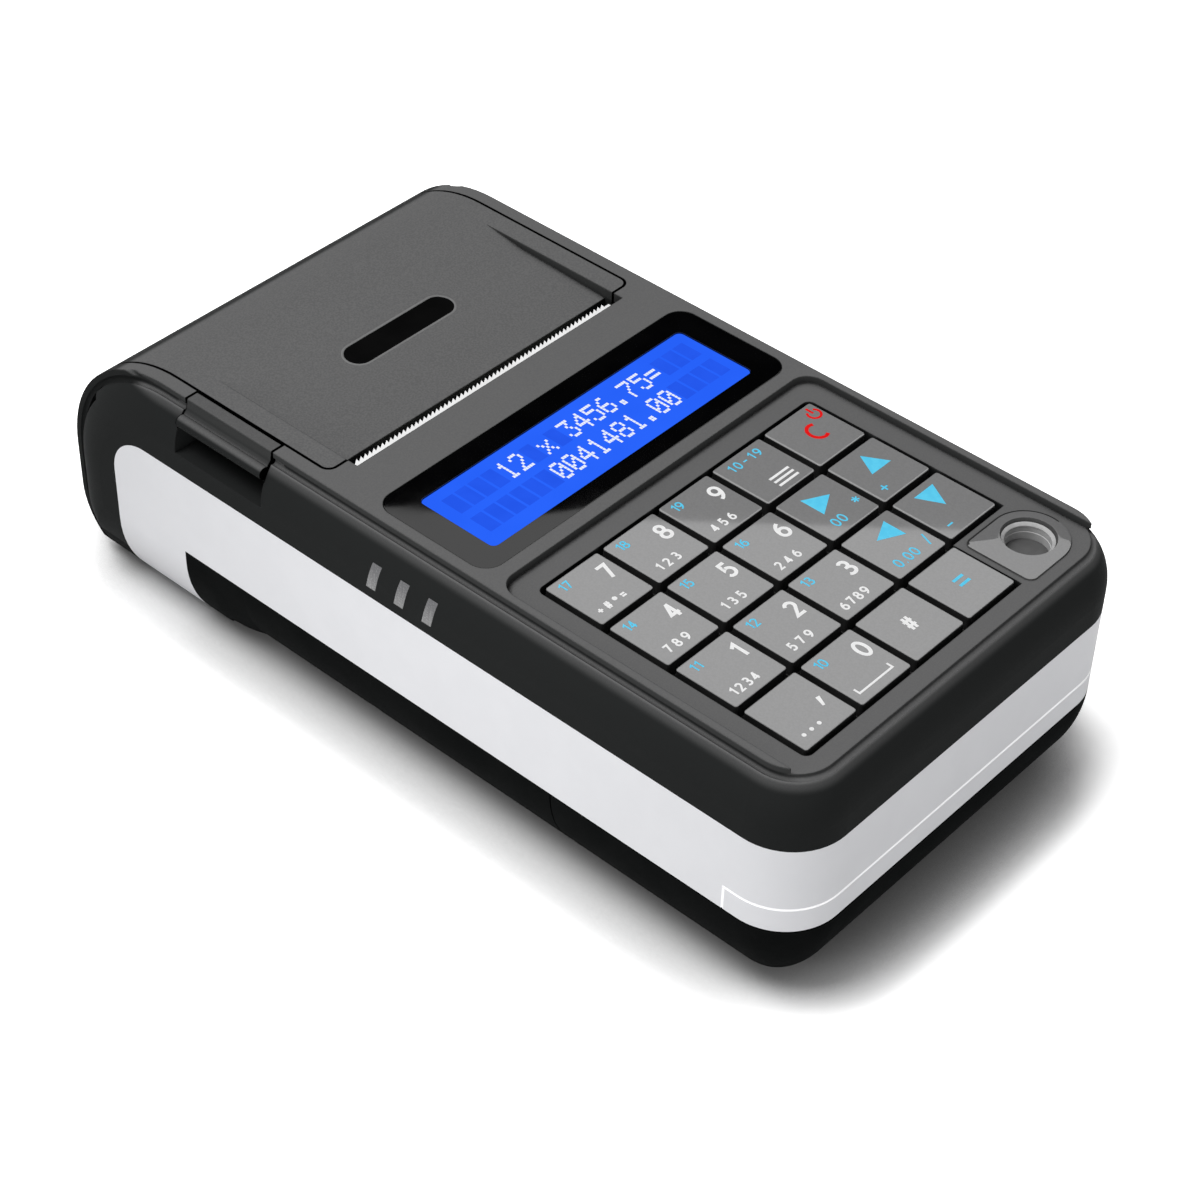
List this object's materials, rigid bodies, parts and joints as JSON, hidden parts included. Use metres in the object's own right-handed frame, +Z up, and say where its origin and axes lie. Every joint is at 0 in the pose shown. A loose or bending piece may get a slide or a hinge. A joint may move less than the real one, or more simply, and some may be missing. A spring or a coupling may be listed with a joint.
{
  "type": "ticket register",
  "caption": "Hand-held ticket register with keypad, blue display, rear paper door over a receipt printer, pale side band and sliding covers.",
  "frame": {"origin": "on the table under the middle of the case", "axes": "+X to the right of the keypad, +Y towards the paper door, +Z up from the table"},
  "size_m": [0.096, 0.187, 0.055],
  "materials": {
    "dark_shell": "fine matte dark grey moulding",
    "pale_shell": "smooth satin off-white moulding",
    "black_shell": "plain black moulding",
    "gloss_black": "polished black",
    "key_plastic": "fine matte grey key caps with printed signs",
    "display": "blue backlit liquid crystal behind glass",
    "bright_bar": "bright serrated bar",
    "clear_pipe": "clear light pipe",
    "mat_rubber": "moulded silicone",
    "roller_rubber": "ground rubber sleeve",
    "foot_rubber": "soft black pad",
    "white_nylon": "natural nylon",
    "bay_plastic": "black moulding",
    "socket_plastic": "black socket body",
    "circuit_board": "green solder mask",
    "resin_block": "cast resin block",
    "battery_wrap": "shrink-wrapped cells",
    "ceramic_head": "glazed ceramic on a plate",
    "zinc_can": "zinc-plated motor can",
    "brass": "cut brass",
    "steel": "plain bright steel"
  },
  "bodies": {
    "case": {"upper_case": "dark_shell", "side_band": "pale_shell", "lower_case": "black_shell", "stepper_motor": "zinc_can", "printer_frame": "steel", "print_head": "ceramic_head", "head_springs": "steel", "tear_bar": "bright_bar", "paper_bay": "bay_plastic", "door_hinge_pin": "steel", "latch_pin": "steel", "latch_spring": "steel", "key_mat": "mat_rubber", "key_board": "circuit_board", "display_window": "gloss_black", "display_glass": "display", "display_board": "circuit_board", "main_board": "circuit_board", "memory_module": "resin_block", "seal_plate": "dark_shell", "seal_screw": "steel", "light_pipes": "clear_pipe", "battery_pack": "battery_wrap", "usb_socket": "steel", "serial_socket": "socket_plastic", "power_socket": "socket_plastic", "rear_feet": "foot_rubber", "case_screws": "steel"},
    "paper_door": {"paper_door": "dark_shell", "badge_plate": "gloss_black", "platen_bushes": "white_nylon"},
    "platen": {"platen_roller": "roller_rubber", "platen_shaft": "steel", "platen_gear": "white_nylon"},
    "reduction_gear": {"reduction_gear": "white_nylon"},
    "motor_pinion": {"motor_pinion": "brass"},
    "latch_lever": {"latch_lever": "dark_shell"},
    "battery_cover": {"battery_cover": "black_shell", "front_feet": "foot_rubber"},
    "port_cover": {"port_cover": "pale_shell"},
    "key_0": {"key_0": "key_plastic"},
    "key_1": {"key_1": "key_plastic"},
    "key_2": {"key_2": "key_plastic"},
    "key_3": {"key_3": "key_plastic"},
    "key_4": {"key_4": "key_plastic"},
    "key_5": {"key_5": "key_plastic"},
    "key_6": {"key_6": "key_plastic"},
    "key_7": {"key_7": "key_plastic"},
    "key_8": {"key_8": "key_plastic"},
    "key_9": {"key_9": "key_plastic"},
    "key_comma": {"key_comma": "key_plastic"},
    "key_menu": {"key_menu": "key_plastic"},
    "key_clear": {"key_clear": "key_plastic"},
    "key_up": {"key_up": "key_plastic"},
    "key_down": {"key_down": "key_plastic"},
    "key_left": {"key_left": "key_plastic"},
    "key_right": {"key_right": "key_plastic"},
    "key_item": {"key_item": "key_plastic"},
    "key_total": {"key_total": "key_plastic"}
  },
  "joints": [
    {"name": "door_swing", "type": "hinge", "parent": "case", "child": "paper_door", "pos_m": [0, 0.0909, 0.0255], "axis": [-1, 0, 0], "range_deg": [0, 100]},
    {"name": "platen_spin", "type": "hinge", "parent": "paper_door", "child": "platen", "pos_m": [0, 0.0295, 0.0445], "axis": [1, 0, 0], "continuous": true},
    {"name": "reduction_spin", "type": "hinge", "parent": "case", "child": "reduction_gear", "pos_m": [0.0377, 0.02566, 0.03208], "axis": [1, 0, 0], "continuous": true},
    {"name": "motor_spin", "type": "hinge", "parent": "case", "child": "motor_pinion", "pos_m": [0.0377, 0.02794, 0.02132], "axis": [1, 0, 0], "continuous": true},
    {"name": "latch_turn", "type": "hinge", "parent": "case", "child": "latch_lever", "pos_m": [-0.043, 0.0466, 0.0534], "axis": [0, 1, 0], "range_deg": [0, 25], "stiffness_Nm_per_rad": 0.01, "springref_deg": -14.32},
    {"name": "battery_cover_slide", "type": "slide", "parent": "case", "child": "battery_cover", "axis": [0, -1, 0], "range_m": [0, 0.045]},
    {"name": "port_cover_slide", "type": "slide", "parent": "case", "child": "port_cover", "axis": [0, -1, 0], "range_m": [0, 0.012]},
    {"name": "key_0_press", "type": "slide", "parent": "case", "child": "key_0", "axis": [0, 0, -1], "range_m": [0, 0.0012], "stiffness_N_per_m": 250, "springref_m": -0.0008},
    {"name": "key_1_press", "type": "slide", "parent": "case", "child": "key_1", "axis": [0, 0, -1], "range_m": [0, 0.0012], "stiffness_N_per_m": 250, "springref_m": -0.0008},
    {"name": "key_2_press", "type": "slide", "parent": "case", "child": "key_2", "axis": [0, 0, -1], "range_m": [0, 0.0012], "stiffness_N_per_m": 250, "springref_m": -0.0008},
    {"name": "key_3_press", "type": "slide", "parent": "case", "child": "key_3", "axis": [0, 0, -1], "range_m": [0, 0.0012], "stiffness_N_per_m": 250, "springref_m": -0.0008},
    {"name": "key_4_press", "type": "slide", "parent": "case", "child": "key_4", "axis": [0, 0, -1], "range_m": [0, 0.0012], "stiffness_N_per_m": 250, "springref_m": -0.0008},
    {"name": "key_5_press", "type": "slide", "parent": "case", "child": "key_5", "axis": [0, 0, -1], "range_m": [0, 0.0012], "stiffness_N_per_m": 250, "springref_m": -0.0008},
    {"name": "key_6_press", "type": "slide", "parent": "case", "child": "key_6", "axis": [0, 0, -1], "range_m": [0, 0.0012], "stiffness_N_per_m": 250, "springref_m": -0.0008},
    {"name": "key_7_press", "type": "slide", "parent": "case", "child": "key_7", "axis": [0, 0, -1], "range_m": [0, 0.0012], "stiffness_N_per_m": 250, "springref_m": -0.0008},
    {"name": "key_8_press", "type": "slide", "parent": "case", "child": "key_8", "axis": [0, 0, -1], "range_m": [0, 0.0012], "stiffness_N_per_m": 250, "springref_m": -0.0008},
    {"name": "key_9_press", "type": "slide", "parent": "case", "child": "key_9", "axis": [0, 0, -1], "range_m": [0, 0.0012], "stiffness_N_per_m": 250, "springref_m": -0.0008},
    {"name": "key_comma_press", "type": "slide", "parent": "case", "child": "key_comma", "axis": [0, 0, -1], "range_m": [0, 0.0012], "stiffness_N_per_m": 250, "springref_m": -0.0008},
    {"name": "key_menu_press", "type": "slide", "parent": "case", "child": "key_menu", "axis": [0, 0, -1], "range_m": [0, 0.0012], "stiffness_N_per_m": 250, "springref_m": -0.0008},
    {"name": "key_clear_press", "type": "slide", "parent": "case", "child": "key_clear", "axis": [0, 0, -1], "range_m": [0, 0.0012], "stiffness_N_per_m": 250, "springref_m": -0.0008},
    {"name": "key_up_press", "type": "slide", "parent": "case", "child": "key_up", "axis": [0, 0, -1], "range_m": [0, 0.0012], "stiffness_N_per_m": 250, "springref_m": -0.0008},
    {"name": "key_down_press", "type": "slide", "parent": "case", "child": "key_down", "axis": [0, 0, -1], "range_m": [0, 0.0012], "stiffness_N_per_m": 250, "springref_m": -0.0008},
    {"name": "key_left_press", "type": "slide", "parent": "case", "child": "key_left", "axis": [0, 0, -1], "range_m": [0, 0.0012], "stiffness_N_per_m": 250, "springref_m": -0.0008},
    {"name": "key_right_press", "type": "slide", "parent": "case", "child": "key_right", "axis": [0, 0, -1], "range_m": [0, 0.0012], "stiffness_N_per_m": 250, "springref_m": -0.0008},
    {"name": "key_item_press", "type": "slide", "parent": "case", "child": "key_item", "axis": [0, 0, -1], "range_m": [0, 0.0012], "stiffness_N_per_m": 250, "springref_m": -0.0008},
    {"name": "key_total_press", "type": "slide", "parent": "case", "child": "key_total", "axis": [0, 0, -1], "range_m": [0, 0.0012], "stiffness_N_per_m": 250, "springref_m": -0.0008}
  ],
  "couplings": [
    {"joint": "reduction_spin", "follows": "platen_spin", "ratio": -0.625},
    {"joint": "motor_spin", "follows": "platen_spin", "ratio": 1.6667}
  ]
}
